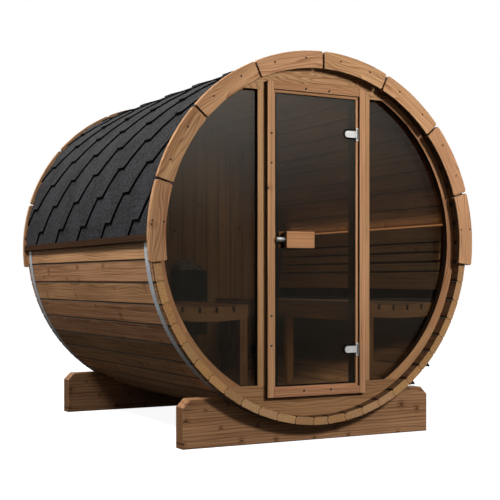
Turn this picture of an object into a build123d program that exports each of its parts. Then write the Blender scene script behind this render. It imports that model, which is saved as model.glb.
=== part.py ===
"""Barrel sauna with a glazed front wall, carried on two timber saddles.

Millimetres, +Z up. The front faces -Y and the origin is on the ground, below the
middle of the barrel. Angles round the barrel are in degrees from the crown,
positive towards +X. Distances called "setback" are from the front fascia's face.
"""
import os
from math import acos, asin, cos, degrees, radians, sin, sqrt, tan

from build123d import *

os.makedirs("parts", exist_ok=True)

# Barrel
overall_length = 2170  # over the fascia boards at both ends
barrel_radius = 1000  # to the outer corners of the staves
ground_gap = 93  # under the lowest stave
stave_thickness = 42
staves_per_side = 26
keel_angle = 5.25  # the narrow stave that closes the barrel at the bottom
crown_angle = 3.75  # and the one that closes it at the top
joint_gap = 0.4  # between neighbouring boards
bead_height = 5  # rounded tongue on one edge of a stave, hollow on the other
bead_shoulder = 9  # flat beside the tongue
outer_arris = 6  # bevel that makes the groove between two staves outside
inner_arris = 5
seat_clearance = 0.3  # between curved faces that bear on each other

# Saddles
saddle_rise = 165  # saddle's top above the lowest stave
saddle_overhang = 233  # saddle beyond its bearing on the barrel, each side
saddle_thickness = 90
saddle_corner = 43
saddle_edge = 3
front_saddle_setback = 118
rear_saddle_setback = 138  # from the rear fascia's face

# Fascia boards, a ring of arcs screwed to the ends of the staves
fascia_thickness = 26
fascia_overhang = 25  # beyond the staves
fascia_lap = 70  # over the ends of the staves, and past them into the mouth
fascia_arc_angle = 24.35
fascia_gap = 9
arcs_per_side = 4
fascia_corner = 13
fascia_edge = 2

# Roof: felt shingles over the upper half, ending on a batten at each side
shingle_thickness = 10
courses_per_side = 10
eave_angle = 88.95  # lower edge of the shingles
lap_gap = 0.5
roof_end_gap = 2
batten_height = 37.5
batten_thickness = 22
batten_arris = 2
batten_drop = 20  # lower edge of the batten below the barrel axis

# Tension hoops round the lower half
hoop_setback = 66  # from the fascia's face to the near edge of the hoop
hoop_width = 50
hoop_thickness = 2
lug_angles = (133, 141)
lug_reach = 42
lug_thickness = 9
tie_rod_radius = 5
tie_rod_height = 26  # above the hoop

# End walls
wall_setback = 88
wall_thickness = 44
wall_board_width = 96
wall_board_arris = 4
window_border = 46  # wood between the opening and the staves
window_centre_rise = 8
window_lip = 32  # wood in front of the pane
window_rebate = 12
window_glass = 8
glass_fit = 0.5
header_height = 151  # above the windows
threshold_height = 179  # below them
jamb_width = 45  # between a window and the door's casing

# Door frame: casing proud of the wall, and a liner through it
casing_half_width = 314
casing_foot_gap = 113  # casing's ends to the staves, at the bottom and at the top
casing_head_gap = 107
casing_width = 40
casing_proud = 28
liner_stop = 15  # liner showing inside the casing
liner_recess = 17  # liner's face behind the casing's face
liner_depth = 78
casing_lap = 14  # casing over the edge of the wall

# Door leaf
door_gap = 5.5
door_glass_thickness = 8
hinge_end_gaps = (244, 251)  # hinge centre to the casing's lower and upper end
hinge_clamp_length = 71
hinge_clamp_height = 37
hinge_clamp_thickness = 6
hinge_plate_height = 72
hinge_plate_thickness = 5
hinge_plate_edge = 1  # plate's side from the knuckle
knuckle_radius = 4.5
knuckle_gap = 0.5
hinge_axis_forward = 8  # hinge axis in front of the glass
handle_length = 173
handle_height = 89
handle_thickness = 28
handle_standoff = 15
handle_edge = 3
handle_end_gap = 43  # handle's end to the edge of the glass
handle_rise = 4  # handle's middle above the barrel axis
inner_handle_shift = -22
spacer_radius = 7
spacer_spread = 100
catch_radius = 13
catch_length = 50
catch_clearance = 5  # to the door frame

# Interior
interior_front_gap = 3  # between the front wall and the benches
interior_rear_gap = 18
floor_rise = 78  # floor's face above the lowest stave's inner face
floor_thickness = 25
floor_boards = 5
floor_board_pitch = 146
floor_board_gap = 8
floor_bearer_width = 60
bench_front = 358  # bench's front from the centre plane
bench_rise = 537  # bench's front edge above the floor
bench_sag = 17  # hollow of the seat
slat_thickness = 30
slat_width = 90
slat_pitch = 100
front_slat_width = 80
front_slat_gap = 7  # between the apron and the first slat
apron_thickness = 20
apron_height = 106
bearer_overhang = 20
bearer_depth = 44
bearer_width = 45
leg_size = 44
leg_inset = 29  # leg behind the apron's face
backrest_rise = 73  # backrest's foot above the bench
backrest_slats = (102, 46, 46, 46, 90)  # widths from the bottom up
backrest_slat_gap = 12
backrest_thickness = 22
backrest_head_gap = 39  # backrest's face to the widest part of the staves, at its head
backrest_foot_gap = 80  # and at its foot
upright_width = 40
light_strip_height = 10
light_strip_width = 26

# Heater and vent on the rear wall
heater_width = 210
heater_depth = 160
heater_centre = 105
heater_rise = 285  # above the floor
heater_height = 450
heater_edge = 8
stones_height = 75
stones_inset = 14
bracket_depth = 18
bracket_size = 40
vent_offset = 436  # from the centre plane
vent_rise = 191  # above the floor
vent_radius = 56
vent_thickness = 12
vent_edge = 4

front = -overall_length / 2
rear = overall_length / 2
axis_height = barrel_radius + ground_gap
stave_length = overall_length - 2 * fascia_thickness
stave_pitch = (360 - keel_angle - crown_angle) / (2 * staves_per_side)
stave_front = front + fascia_thickness
inner_apothem = barrel_radius * cos(radians(stave_pitch / 2)) - stave_thickness
inner_radius = inner_apothem - seat_clearance  # of what is fitted inside the staves
wall_front = front + wall_setback
wall_back = wall_front + wall_thickness
rear_wall_front = rear - wall_setback - wall_thickness


def across(y, height=0):
    """Plane square to the barrel at y, looking at the front, x to the right and z up."""
    return Plane(origin=(0, y, height), x_dir=(1, 0, 0), z_dir=(0, -1, 0))


def about_axis(y):
    """The same plane with its origin on the barrel's axis."""
    return across(y, axis_height)


def at(radius, angle):
    """Point at a radius and an angle from the crown, in an about_axis plane."""
    return (radius * sin(radians(angle)), radius * cos(radians(angle)))


def band(inner, outer, start, end):
    """Piece of a flat ring between two angles."""
    middle = (start + end) / 2
    with BuildLine() as outline:
        ThreePointArc(at(outer, start), at(outer, middle), at(outer, end))
        Line(at(outer, end), at(inner, end))
        ThreePointArc(at(inner, end), at(inner, middle), at(inner, start))
        Line(at(inner, start), at(outer, start))
    return make_face(outline.edges())


def write(part, name):
    part.label = name
    export_step(part, f"parts/{name}.step")


# Saddles: a plank on edge, hollowed to the barrel, with its upper corners cut off
seat_radius = barrel_radius + seat_clearance
saddle_height = ground_gap + saddle_rise
bearing = sqrt(barrel_radius**2 - (barrel_radius - saddle_rise) ** 2)
saddle_length = 2 * (bearing + saddle_overhang)
for name, start in (
    ("front_saddle", front + front_saddle_setback),
    ("rear_saddle", rear - rear_saddle_setback - saddle_thickness),
):
    with BuildPart() as saddle:
        with BuildSketch(across(start)) as plank:
            Rectangle(saddle_length, saddle_height, align=(Align.CENTER, Align.MIN))
            chamfer(plank.vertices().group_by(Axis.Y)[-1], length=saddle_corner)
            with Locations((0, axis_height)):
                Circle(seat_radius, mode=Mode.SUBTRACT)
        extrude(amount=-saddle_thickness)
        chamfer(saddle.faces().filter_by(Axis.Y).edges().filter_by(GeomType.LINE), length=saddle_edge)
    write(saddle.part, name)


# Staves: flat boards with a rounded tongue on one edge and a hollow on the other
def stave(middle, width):
    """Section of the stave whose middle is at one angle and which spans another."""
    half = width / 2 - degrees(joint_gap / 2 / barrel_radius)
    top = barrel_radius * cos(radians(half))
    bottom = top - stave_thickness
    slope = tan(radians(half))
    lean_x, lean_y = sin(radians(half)), cos(radians(half))
    profile = []
    for side in (1, -1):
        high = (side * top * slope, top)
        low = (side * bottom * slope, bottom)
        shoulder_top = (high[0] - side * bead_shoulder * lean_x, high[1] - bead_shoulder * lean_y)
        shoulder_low = (low[0] + side * bead_shoulder * lean_x, low[1] + bead_shoulder * lean_y)
        crest = (
            (shoulder_top[0] + shoulder_low[0]) / 2 + bead_height * lean_y,
            (shoulder_top[1] + shoulder_low[1]) / 2 - side * bead_height * lean_x,
        )
        outer_flat = (high[0] - side * outer_arris, top)
        outer_side = (high[0] - side * outer_arris * lean_x, high[1] - outer_arris * lean_y)
        inner_flat = (low[0] - side * inner_arris, bottom)
        inner_side = (low[0] + side * inner_arris * lean_x, low[1] + inner_arris * lean_y)
        profile.append((outer_flat, outer_side, shoulder_top, crest, shoulder_low, inner_side, inner_flat))
    with BuildLine(Location((0, 0, 0), (0, 0, -middle))) as outline:
        for points in profile:
            Polyline(*points[:3])
            ThreePointArc(*points[2:5])
            Polyline(*points[4:])
        Line(profile[0][0], profile[1][0])
        Line(profile[0][-1], profile[1][-1])
    return make_face(outline.edges())


stave_widths = [crown_angle] + [stave_pitch] * staves_per_side
right_middles = [
    crown_angle / 2 + stave_pitch * (index + 0.5) for index in range(staves_per_side)
]
upper_count = (staves_per_side - 2 * 9) // 2
groups = {
    "staves_top": [(0, crown_angle)]
    + [(side * angle, stave_pitch) for side in (1, -1) for angle in right_middles[:upper_count]],
    "staves_bottom": [(180, keel_angle)]
    + [(side * angle, stave_pitch) for side in (1, -1) for angle in right_middles[upper_count + 18 :]],
}
for side, word in ((1, "right"), (-1, "left")):
    for start, level in ((upper_count, "upper"), (upper_count + 9, "lower")):
        groups[f"staves_{level}_{word}"] = [
            (side * angle, stave_pitch) for angle in right_middles[start : start + 9]
        ]
for name, members in groups.items():
    with BuildPart() as staves:
        with BuildSketch(about_axis(stave_front)):
            for middle, width in members:
                stave(middle, width)
        extrude(amount=-stave_length)
    write(staves.part, name)


# Fascia boards: four arcs each side of the crown, at both ends
fascia_outer_radius = barrel_radius + fascia_overhang
fascia_inner_radius = barrel_radius - fascia_lap
gap_angle = degrees(fascia_gap / fascia_outer_radius)
for name, start in (("front_fascia", front), ("rear_fascia", rear - fascia_thickness)):
    with BuildPart() as fascia:
        with BuildSketch(about_axis(start)) as arcs:
            for index in range(-arcs_per_side, arcs_per_side):
                low, high = index * fascia_arc_angle, (index + 1) * fascia_arc_angle
                band(fascia_inner_radius, fascia_outer_radius, low + gap_angle / 2, high - gap_angle / 2)
            fillet(arcs.vertices(), radius=fascia_corner)
        extrude(amount=-fascia_thickness)
        outside = fascia.faces().filter_by(Axis.Y).group_by(Axis.Y)[0 if start == front else -1]
        chamfer(outside.edges(), length=fascia_edge)
    write(fascia.part, name)


# Roof: one curved strip to a course of shingles, laid from the eaves to the crown
roof_inner = barrel_radius + seat_clearance
course_angle = eave_angle / courses_per_side
lap_angle = degrees(lap_gap / barrel_radius)
for side, word in ((1, "right"), (-1, "left")):
    with BuildPart() as roof:
        with BuildSketch(about_axis(stave_front + roof_end_gap)):
            for index in range(courses_per_side):
                low, high = index * course_angle, (index + 1) * course_angle
                angles = sorted((side * (low + lap_angle / 2), side * (high - lap_angle / 2)))
                band(roof_inner, roof_inner + shingle_thickness, *angles)
        extrude(amount=-(stave_length - 2 * roof_end_gap))
    write(roof.part, f"roof_{word}")

# Eave battens: a board along each side that the lowest shingles end on
with BuildPart() as eave_battens:
    with BuildSketch(about_axis(stave_front + roof_end_gap)):
        with Locations((0, batten_height / 2 - batten_drop)):
            with GridLocations(2 * roof_inner + batten_thickness, 0, 2, 1):
                Rectangle(batten_thickness, batten_height)
    extrude(amount=-(stave_length - 2 * roof_end_gap))
    chamfer(eave_battens.edges().filter_by(Axis.Y), length=batten_arris)
write(eave_battens.part, "eave_battens")


# Hoops: a steel strap round the lower half, drawn tight by a tie rod between two lugs
hoop_inner = barrel_radius + seat_clearance
hoop_outer = hoop_inner + hoop_thickness
hoop_start = 90 + degrees(asin(batten_drop / barrel_radius)) + lap_angle
lug_middle = sum(lug_angles) / 2
for name, start in (
    ("front_hoop", front + hoop_setback),
    ("rear_hoop", rear - hoop_setback - hoop_width),
):
    with BuildPart() as hoop:
        with BuildSketch(about_axis(start)):
            band(hoop_inner, hoop_outer, hoop_start, 360 - hoop_start)
        extrude(amount=-hoop_width)
        with BuildSketch(about_axis(start)):
            for angle in lug_angles:
                with Locations(Location((*at(hoop_outer - 1, angle), 0), (0, 0, -angle))):
                    Rectangle(lug_thickness, lug_reach, align=(Align.CENTER, Align.MIN))
        extrude(amount=-hoop_width)
        rod_length = 2 * (hoop_outer + tie_rod_height) * sin(radians((lug_angles[1] - lug_angles[0]) / 2))
        rod_plane = Plane(
            origin=(
                at((hoop_outer + tie_rod_height) * cos(radians((lug_angles[1] - lug_angles[0]) / 2)), lug_middle)[0],
                start + hoop_width / 2,
                axis_height
                + at((hoop_outer + tie_rod_height) * cos(radians((lug_angles[1] - lug_angles[0]) / 2)), lug_middle)[1],
            ),
            z_dir=(cos(radians(lug_middle)), 0, -sin(radians(lug_middle))),
        )
        with BuildSketch(rod_plane):
            Circle(tie_rod_radius)
        extrude(amount=rod_length / 2 + 2 * lug_thickness, both=True)
    write(hoop.part, name)


# Front wall: header, threshold, two jambs and two curved sides round the windows
window_radius = inner_apothem - window_border
window_inner_edge = casing_half_width + jamb_width
window_top = inner_apothem - header_height  # above the barrel axis
window_bottom = inner_apothem - threshold_height  # below it
casing_bottom = axis_height - inner_apothem + casing_foot_gap
casing_top = axis_height + inner_apothem - casing_head_gap


def window_outline(grow, side):
    """Window opening on one side, enlarged all round."""
    width = window_radius - window_inner_edge + 2 * grow
    height = window_top + window_bottom + 2 * grow
    with Locations((0, window_centre_rise)):
        Circle(window_radius + grow)
    with Locations((side * (window_inner_edge - grow + width / 2), (window_top - window_bottom) / 2)):
        Rectangle(width, height, mode=Mode.INTERSECT)


liner_face = wall_front - casing_proud + liner_recess
frame_front = wall_front - casing_proud
wall_hole_half = casing_half_width - casing_lap
wall_hole_bottom = casing_bottom + casing_lap - axis_height
wall_hole_top = casing_top - casing_lap - axis_height


def wall_layer(y, depth, region, grow):
    """One layer of a front wall piece: the region given as (x0, x1, z0, z1), less the openings."""
    x0, x1, z0, z1 = region
    with BuildSketch(about_axis(y)) as layer:
        Circle(inner_radius)
        with Locations(((x0 + x1) / 2, (z0 + z1) / 2)):
            Rectangle(x1 - x0, z1 - z0, mode=Mode.INTERSECT)
        with Locations((0, (wall_hole_bottom + wall_hole_top) / 2)):
            Rectangle(2 * wall_hole_half, wall_hole_top - wall_hole_bottom, mode=Mode.SUBTRACT)
        for side in (1, -1):
            with BuildSketch(mode=Mode.PRIVATE) as opening:
                window_outline(grow, side)
            add(opening.sketch, mode=Mode.SUBTRACT)
    return extrude(layer.sketch, amount=-depth)


wall_regions = {
    "wall_header": (-barrel_radius, barrel_radius, window_top, barrel_radius),
    "wall_threshold": (-barrel_radius, barrel_radius, -barrel_radius, -window_bottom),
    "wall_jambs": (-window_inner_edge, window_inner_edge, -window_bottom, window_top),
    "left_wall_curve": (-barrel_radius, -window_inner_edge, -window_bottom, window_top),
    "right_wall_curve": (window_inner_edge, barrel_radius, -window_bottom, window_top),
}
for name, region in wall_regions.items():
    with BuildPart() as wall_piece:
        wall_layer(wall_front, window_lip, region, 0)
        wall_layer(wall_front + window_lip, wall_thickness - window_lip, region, window_rebate)
    write(wall_piece.part, name)

# Fixed panes, set in the rebate behind the lip
for side, word in ((1, "right"), (-1, "left")):
    with BuildPart() as pane:
        with BuildSketch(about_axis(wall_front + window_lip)):
            window_outline(window_rebate - glass_fit, side)
        extrude(amount=-window_glass)
    write(pane.part, f"{word}_window")


# Door frame: each member is a casing on the wall's face and a liner through the wall
def upright_box(x0, x1, y0, y1, z0, z1):
    """Box between two corners."""
    with BuildSketch(Plane.XY.offset(z0)) as base:
        with Locations(((x0 + x1) / 2, (y0 + y1) / 2)):
            Rectangle(abs(x1 - x0), y1 - y0)
    return extrude(base.sketch, amount=z1 - z0)


casing_inner = casing_half_width - casing_width
opening_half = casing_inner - liner_stop
opening_bottom = casing_bottom + casing_width + liner_stop
opening_top = casing_top - casing_width - liner_stop
liner_outer = wall_hole_half - seat_clearance
liner_bottom = casing_bottom + casing_lap + seat_clearance
liner_top = casing_top - casing_lap - seat_clearance
liner_back = liner_face + liner_depth
for side, word in ((1, "right"), (-1, "left")):
    with BuildPart() as stile:
        upright_box(
            side * casing_inner, side * casing_half_width, frame_front, wall_front, casing_bottom, casing_top
        )
        upright_box(
            side * opening_half, side * casing_inner, liner_face, wall_front, opening_bottom, opening_top
        )
        upright_box(side * opening_half, side * liner_outer, wall_front, liner_back, liner_bottom, liner_top)
    write(stile.part, f"door_frame_{word}")
for word, casing_z, stop_z, liner_z in (
    (
        "top",
        (casing_top - casing_width, casing_top),
        (opening_top, casing_top - casing_width),
        (opening_top, liner_top),
    ),
    (
        "bottom",
        (casing_bottom, casing_bottom + casing_width),
        (casing_bottom + casing_width, opening_bottom),
        (liner_bottom, opening_bottom),
    ),
):
    with BuildPart() as rail:
        upright_box(-casing_inner, casing_inner, frame_front, wall_front, *casing_z)
        upright_box(-casing_inner, casing_inner, liner_face, wall_front, *stop_z)
        upright_box(-opening_half, opening_half, wall_front, liner_back, *liner_z)
    write(rail.part, f"door_frame_{word}")

# Door leaf: one sheet of glass level with the liner's face
door_half = opening_half - door_gap
door_back = liner_face + door_glass_thickness
with BuildPart() as door_glass:
    upright_box(
        -door_half, door_half, liner_face, door_back, opening_bottom + door_gap, opening_top - door_gap
    )
    fillet(door_glass.edges().filter_by(Axis.Y), radius=handle_edge)
write(door_glass.part, "door_glass")

# Hinges: a clamp on the glass turns on a pin between the knuckles of a fixed plate
hinge_heights = (casing_bottom + hinge_end_gaps[0], casing_top - hinge_end_gaps[1])
hinge_x = opening_half + 1.5
hinge_y = liner_face - hinge_axis_forward
clamp_end = door_half + 3
clamp_front = liner_face - hinge_clamp_thickness
clamp_back = door_back + hinge_clamp_thickness
knuckle_half = hinge_clamp_height / 2 - 1
with BuildPart() as door_hinges:
    for height in hinge_heights:
        with BuildSketch(across(clamp_front, height)) as clamp:
            with Locations((clamp_end - hinge_clamp_length / 2, 0)):
                Rectangle(hinge_clamp_length, hinge_clamp_height)
            fillet(clamp.vertices().group_by(Axis.X)[0], radius=hinge_clamp_height / 2 - 1)
        extrude(amount=-(clamp_back - clamp_front))
    for height in hinge_heights:
        upright_box(
            door_half - 4,
            hinge_x,
            hinge_y - 3,
            clamp_front + 1,
            height - knuckle_half,
            height + knuckle_half,
        )
        with BuildSketch(Plane.XY.offset(height - knuckle_half)):
            with Locations((hinge_x, hinge_y)):
                Circle(knuckle_radius)
        extrude(amount=2 * knuckle_half)
    with BuildSketch(across(liner_face, (opening_bottom + opening_top) / 2)):
        Rectangle(2 * door_half, opening_top - opening_bottom)
    extrude(amount=-door_glass_thickness, mode=Mode.SUBTRACT)
write(door_hinges.part, "door_hinges")

with BuildPart() as hinge_plates:
    for height in hinge_heights:
        plate_bottom = height - hinge_plate_height / 2
        plate_top = height + hinge_plate_height / 2
        upright_box(
            hinge_x + knuckle_radius + hinge_plate_edge,
            casing_inner - seat_clearance,
            liner_face - hinge_plate_thickness,
            liner_face,
            plate_bottom,
            plate_top,
        )
        for low, high in (
            (plate_bottom, height - knuckle_half - knuckle_gap),
            (height + knuckle_half + knuckle_gap, plate_top),
        ):
            upright_box(hinge_x, casing_inner - seat_clearance - 2, hinge_y, liner_face, low, high)
            with BuildSketch(Plane.XY.offset(low)):
                with Locations((hinge_x, hinge_y)):
                    Circle(knuckle_radius)
            extrude(amount=high - low)
write(hinge_plates.part, "hinge_plates")

# Handle: a timber block on each face of the glass, the outer one on two spacers
handle_centre = (handle_end_gap + handle_length / 2 - door_half, axis_height + handle_rise)
handle_front = liner_face - handle_standoff - handle_thickness
with BuildPart() as door_handle:
    for shift, start in ((0, handle_front), (inner_handle_shift, door_back)):
        with BuildSketch(across(start, handle_centre[1])):
            with Locations((handle_centre[0] + shift, 0)):
                RectangleRounded(handle_length, handle_height, handle_edge)
        extrude(amount=-handle_thickness)
write(door_handle.part, "door_handle")

with BuildPart() as door_catch:
    with BuildSketch(across(handle_front + handle_thickness, handle_centre[1])):
        with Locations((handle_centre[0], 0)):
            with GridLocations(spacer_spread, 0, 2, 1):
                Circle(spacer_radius)
    extrude(amount=-handle_standoff)
    catch_x = handle_centre[0] - handle_length / 2
    catch_y = liner_face - catch_radius - catch_clearance
    with BuildSketch(Plane(origin=(catch_x, catch_y, handle_centre[1]), z_dir=(-1, 0, 0))):
        Circle(catch_radius)
    extrude(amount=catch_length)
write(door_catch.part, "door_catch")

# Rear wall: upright boards cut to the barrel
board_count = int(2 * inner_radius / wall_board_width) + 1
with BuildPart() as rear_wall:
    with BuildSketch(about_axis(rear_wall_front)):
        Circle(inner_radius)
        with GridLocations(wall_board_width, 0, board_count - 1, 1):
            Rectangle(joint_gap, 2 * barrel_radius, mode=Mode.SUBTRACT)
    extrude(amount=-wall_thickness)
    chamfer(rear_wall.edges().filter_by(Axis.Z), length=wall_board_arris)
write(rear_wall.part, "rear_wall")

# Floor level, from which the vent, benches and heater are set out
floor_top = axis_height - inner_apothem + floor_rise

# Vent: a round cover low on the rear wall, inside and outside
with BuildPart() as vent:
    for start in (rear_wall_front - vent_thickness, rear_wall_front + wall_thickness):
        with BuildSketch(across(start, floor_top + vent_rise)):
            with Locations((vent_offset, 0)):
                Circle(vent_radius)
        extrude(amount=-vent_thickness)
    chamfer(vent.edges().group_by(Axis.Y)[0], length=vent_edge)
    chamfer(vent.edges().group_by(Axis.Y)[-1], length=vent_edge)
write(vent.part, "vent")

# Floor: boards along the barrel on cross bearers that sit on the staves
inside_front = wall_back + interior_front_gap
inside_rear = rear_wall_front - interior_rear_gap
floor_front = liner_back + 5
with BuildPart() as floor:
    with BuildSketch(about_axis(floor_front)):
        Circle(inner_radius)
        with Locations((0, floor_top - axis_height)):
            Rectangle(
                floor_boards * floor_board_pitch - floor_board_gap,
                floor_thickness,
                align=(Align.CENTER, Align.MAX),
                mode=Mode.INTERSECT,
            )
        with GridLocations(floor_board_pitch, 0, floor_boards - 1, 1):
            Rectangle(floor_board_gap, 2 * barrel_radius, mode=Mode.SUBTRACT)
    extrude(amount=-(rear_wall_front - floor_front))
write(floor.part, "floor")
floor_bearer_top = floor_top - floor_thickness - axis_height
with BuildPart() as floor_bearers:
    for share in (0.1, 0.5, 0.9):
        start = floor_front + share * (rear_wall_front - floor_front) - floor_bearer_width / 2
        with BuildSketch(about_axis(start)):
            Circle(inner_radius)
            with Locations((0, floor_bearer_top)):
                Rectangle(
                    2 * barrel_radius, barrel_radius, align=(Align.CENTER, Align.MAX), mode=Mode.INTERSECT
                )
        extrude(amount=-floor_bearer_width)
write(floor_bearers.part, "floor_bearers")

# Benches: slats laid to a shallow hollow on curved bearers, with an apron and legs in front
bench_height = floor_top + bench_rise
bench_reach = sqrt(inner_radius**2 - (axis_height - bench_height + slat_thickness) ** 2)
bench_hollow_centre = (bench_front + bench_reach) / 2
first_slat_edge = bench_front + apron_thickness + front_slat_gap
hollow_radius = (bench_hollow_centre - bench_front) ** 2 / (2 * bench_sag) + bench_sag / 2
hollow_height = bench_height - bench_sag + hollow_radius - axis_height
bearer_curve = sqrt((hollow_radius + slat_thickness) ** 2 + (slat_width / 2) ** 2) + seat_clearance
bearer_starts = (
    inside_front + bearer_overhang,
    (inside_front + inside_rear - bearer_width) / 2,
    inside_rear - bearer_width,
)
bench_start = bearer_starts[0]
bench_length = inside_rear - bench_start

with BuildPart() as bench_slats:
    with BuildSketch(about_axis(bench_start)):
        for side in (1, -1):
            edge, width = first_slat_edge, front_slat_width
            while edge + width < bench_reach:
                turn = (edge + width / 2 - bench_hollow_centre) / hollow_radius
                spot = (
                    side * (bench_hollow_centre + hollow_radius * sin(turn)),
                    hollow_height - hollow_radius * cos(turn),
                )
                with Locations(Location((*spot, 0), (0, 0, side * degrees(turn)))):
                    Rectangle(width, slat_thickness, align=(Align.CENTER, Align.MAX))
                edge, width = edge + width + slat_pitch - slat_width, slat_width
    extrude(amount=-bench_length)
write(bench_slats.part, "bench_slats")

with BuildPart() as bench_aprons:
    for side in (1, -1):
        apron_edge = side * (bench_front + apron_thickness)
        apron_bottom = bench_height - apron_height
        upright_box(side * bench_front, apron_edge, bench_start, inside_rear, apron_bottom, bench_height)
write(bench_aprons.part, "bench_aprons")

with BuildPart() as bench_bearers:
    for start in bearer_starts:
        for side in (1, -1):
            with BuildSketch(about_axis(start)):
                with Locations((side * bench_hollow_centre, hollow_height)):
                    Circle(bearer_curve + bearer_depth)
                    Circle(bearer_curve, mode=Mode.SUBTRACT)
                with Locations((side * (bench_front + apron_thickness + barrel_radius / 2), -barrel_radius / 2)):
                    Rectangle(barrel_radius, barrel_radius, mode=Mode.INTERSECT)
                Circle(inner_radius, mode=Mode.INTERSECT)
            extrude(amount=-bearer_width)
write(bench_bearers.part, "bench_bearers")

with BuildPart() as bench_legs:
    leg_middle = bench_front + leg_inset + leg_size / 2
    for start in bearer_starts:
        for side in (1, -1):
            with BuildSketch(about_axis(start)):
                Circle(inner_radius)
                with Locations((side * bench_hollow_centre, hollow_height)):
                    Circle(bearer_curve + bearer_depth + seat_clearance, mode=Mode.SUBTRACT)
                with Locations((side * leg_middle, -barrel_radius / 2)):
                    Rectangle(leg_size, barrel_radius, mode=Mode.INTERSECT)
            extrude(amount=-leg_size)
write(bench_legs.part, "bench_legs")

# Backrests: slats on raked uprights against the staves, with a light strip on top
backrest_bottom = bench_height + backrest_rise
backrest_top = backrest_bottom + sum(backrest_slats) + backrest_slat_gap * (len(backrest_slats) - 1)
backrest_bottom_inset = inner_apothem - backrest_foot_gap
backrest_top_inset = inner_apothem - backrest_head_gap
rake = (backrest_top_inset - backrest_bottom_inset) / (backrest_top - backrest_bottom)
foot, head = backrest_bottom - axis_height, backrest_top - axis_height
with BuildPart() as backrests:
    with BuildSketch(about_axis(bench_start)):
        for side in (1, -1):
            low = foot
            for width in backrest_slats:
                inset = backrest_bottom_inset + rake * (low - foot)
                with BuildLine() as outline:
                    Polyline(
                        (side * inset, low),
                        (side * (inset + backrest_thickness), low),
                        (side * (inset + rake * width + backrest_thickness), low + width),
                        (side * (inset + rake * width), low + width),
                        close=True,
                    )
                make_face(outline.edges())
                low += width + backrest_slat_gap
    extrude(amount=-bench_length)
write(backrests.part, "backrests")

with BuildPart() as backrest_uprights:
    for start in bearer_starts:
        with BuildSketch(about_axis(start)):
            for side in (1, -1):
                with BuildLine() as outline:
                    Polyline(
                        (side * (backrest_bottom_inset + backrest_thickness), foot),
                        (side * barrel_radius, foot),
                        (side * barrel_radius, head),
                        (side * (backrest_top_inset + backrest_thickness), head),
                        close=True,
                    )
                make_face(outline.edges())
            Circle(inner_radius, mode=Mode.INTERSECT)
        extrude(amount=-upright_width)
write(backrest_uprights.part, "backrest_uprights")

with BuildPart() as light_strips:
    for side in (1, -1):
        with BuildSketch(about_axis(bench_start)):
            with Locations((side * (backrest_top_inset + light_strip_width / 2), backrest_top - axis_height)):
                Rectangle(light_strip_width, light_strip_height, align=(Align.CENTER, Align.MIN))
            Circle(inner_radius, mode=Mode.INTERSECT)
        extrude(amount=-bench_length)
write(light_strips.part, "light_strips")

# Heater: a steel case on two wall brackets, with stones heaped in its open top
heater_bottom = floor_top + heater_rise
heater_top = heater_bottom + heater_height
heater_back = rear_wall_front - bracket_depth
with BuildPart() as heater:
    upright_box(
        heater_centre - heater_width / 2,
        heater_centre + heater_width / 2,
        heater_back - heater_depth,
        heater_back,
        heater_bottom,
        heater_top,
    )
    fillet(heater.edges().filter_by(Axis.Z), radius=heater_edge)
    for height in (heater_bottom + bracket_size, heater_top - 2 * bracket_size):
        upright_box(
            heater_centre - bracket_size,
            heater_centre + bracket_size,
            heater_back - 1,
            rear_wall_front,
            height,
            height + bracket_size,
        )
write(heater.part, "heater")

with BuildPart() as heater_stones:
    with BuildSketch(Plane.XY.offset(heater_top)):
        with Locations((heater_centre, heater_back - heater_depth / 2)):
            Rectangle(heater_width - 2 * stones_inset, heater_depth - 2 * stones_inset)
    extrude(amount=stones_height, taper=20)
write(heater_stones.part, "heater_stones")
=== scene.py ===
"""Looks of a timber barrel sauna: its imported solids, dressed with grain, shingles, glass and fittings."""

from math import cos, floor, pi, radians, sin

import bmesh
import bpy
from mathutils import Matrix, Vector


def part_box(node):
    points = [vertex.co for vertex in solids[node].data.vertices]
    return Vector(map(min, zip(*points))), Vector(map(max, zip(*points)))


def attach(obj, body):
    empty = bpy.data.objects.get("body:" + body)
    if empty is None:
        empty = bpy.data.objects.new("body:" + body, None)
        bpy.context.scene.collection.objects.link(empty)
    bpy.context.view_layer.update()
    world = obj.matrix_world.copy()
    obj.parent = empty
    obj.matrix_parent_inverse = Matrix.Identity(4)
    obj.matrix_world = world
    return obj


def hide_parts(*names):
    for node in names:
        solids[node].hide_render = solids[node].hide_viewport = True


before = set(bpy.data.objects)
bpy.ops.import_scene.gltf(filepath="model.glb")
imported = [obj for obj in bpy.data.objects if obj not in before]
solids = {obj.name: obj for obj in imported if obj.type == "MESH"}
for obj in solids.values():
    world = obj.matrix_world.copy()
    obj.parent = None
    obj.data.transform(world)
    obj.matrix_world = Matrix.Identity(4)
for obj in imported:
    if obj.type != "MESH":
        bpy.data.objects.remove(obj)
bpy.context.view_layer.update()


# ----------------------------------------------------------
# Saddles. Two planks of softwood stand on edge under the barrel, hollowed to fit it.
# They are heat-treated and oiled, so the timber is a dull brown with darker streaks,
# and a few knots show on the sawn face.
# ----------------------------------------------------------
def step(operation, *terms):
    """One step of arithmetic, on numbers of which at least one flows through a tree."""
    tree = next(term.tree for term in terms if isinstance(term, Flow))
    inputs = {f"_{number}": term for number, term in enumerate(terms)}
    return put(tree, "ShaderNodeMath", {"operation": operation}, **inputs)[0]


def operator(operation, swapped=False):
    """A method that adds a step of arithmetic to the tree."""
    return lambda *terms: step(operation, *(terms[::-1] if swapped else terms))


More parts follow.
